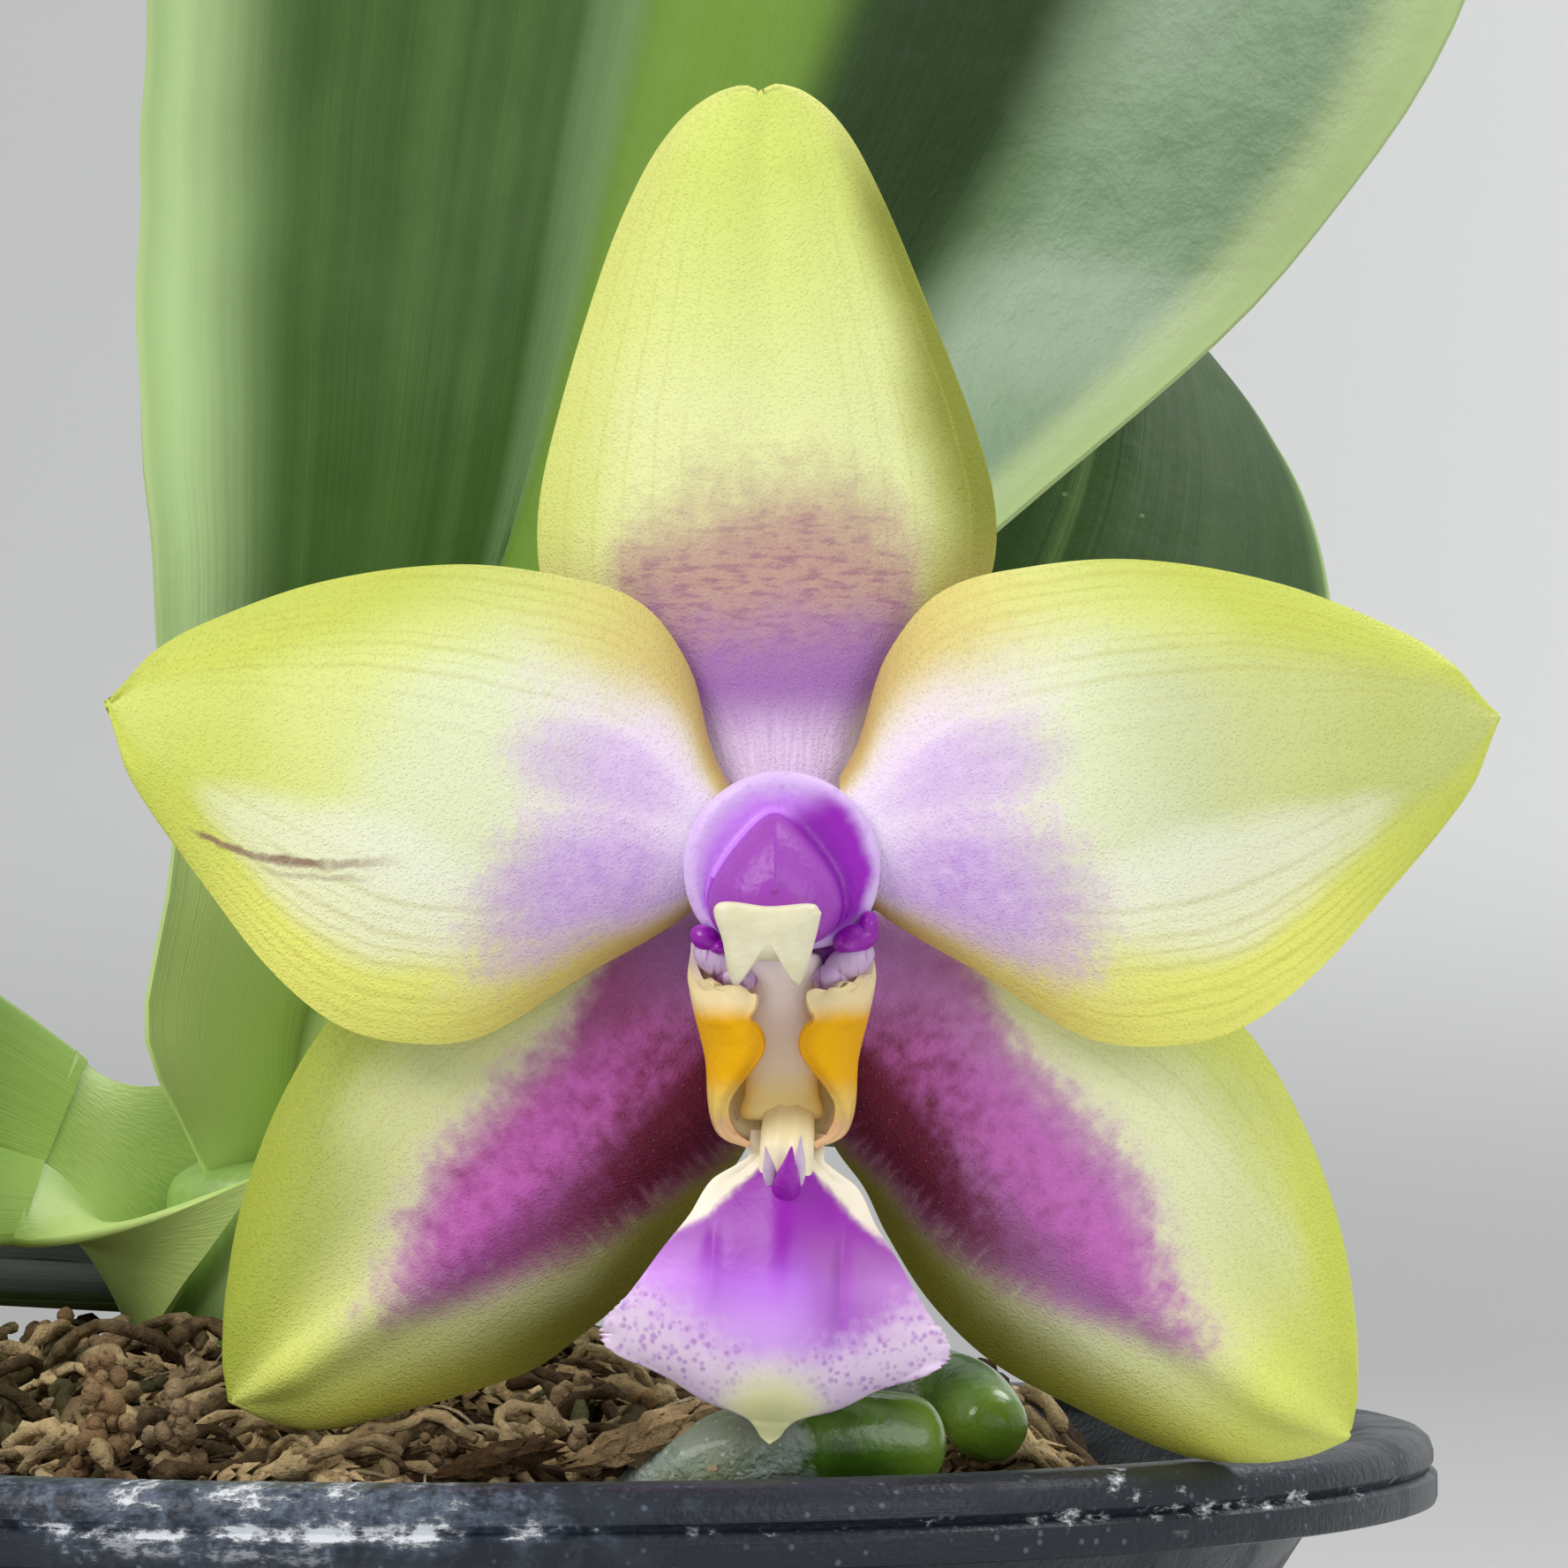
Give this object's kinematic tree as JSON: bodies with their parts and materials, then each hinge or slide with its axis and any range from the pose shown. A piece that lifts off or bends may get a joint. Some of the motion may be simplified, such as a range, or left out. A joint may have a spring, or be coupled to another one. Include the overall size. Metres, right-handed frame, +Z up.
{
  "type": "potted moth orchid",
  "caption": "Moth orchid in a round nursery pot: broad arching leaves, silvery roots in moss and an open flower on a short spike.",
  "frame": {"origin": "centre of the pot's underside", "axes": "+Z up, the flower looks along -Y, the long leaf leans towards +X"},
  "size_m": [0.2019, 0.1229, 0.2582],
  "materials": {
    "pot": "satin",
    "moss": "matte",
    "stem": "satin",
    "leaf": "satin",
    "root": "satin",
    "spike": "satin",
    "pedicel": "satin",
    "sepal": "satin",
    "petal": "satin",
    "column": "satin",
    "anther_cap": "satin",
    "column_foot": "satin",
    "side_lobe": "satin",
    "midlobe": "satin"
  },
  "bodies": {
    "root": {"pot": "pot", "moss": "moss", "stem": "stem", "leaf_upright": "leaf", "leaf_back": "leaf", "leaf_left": "leaf", "leaf_low": "leaf", "root_front": "root", "root_right": "root", "root_back": "root", "root_back_right": "root", "flower_spike": "spike", "pedicel": "pedicel", "dorsal_sepal": "sepal", "lateral_sepal_left": "sepal", "lateral_sepal_right": "sepal", "petal_left": "petal", "petal_right": "petal", "column": "column", "anther_cap": "anther_cap", "column_foot": "column_foot", "lip_side_lobes": "side_lobe", "lip_midlobe": "midlobe"}
  },
  "joints": []
}
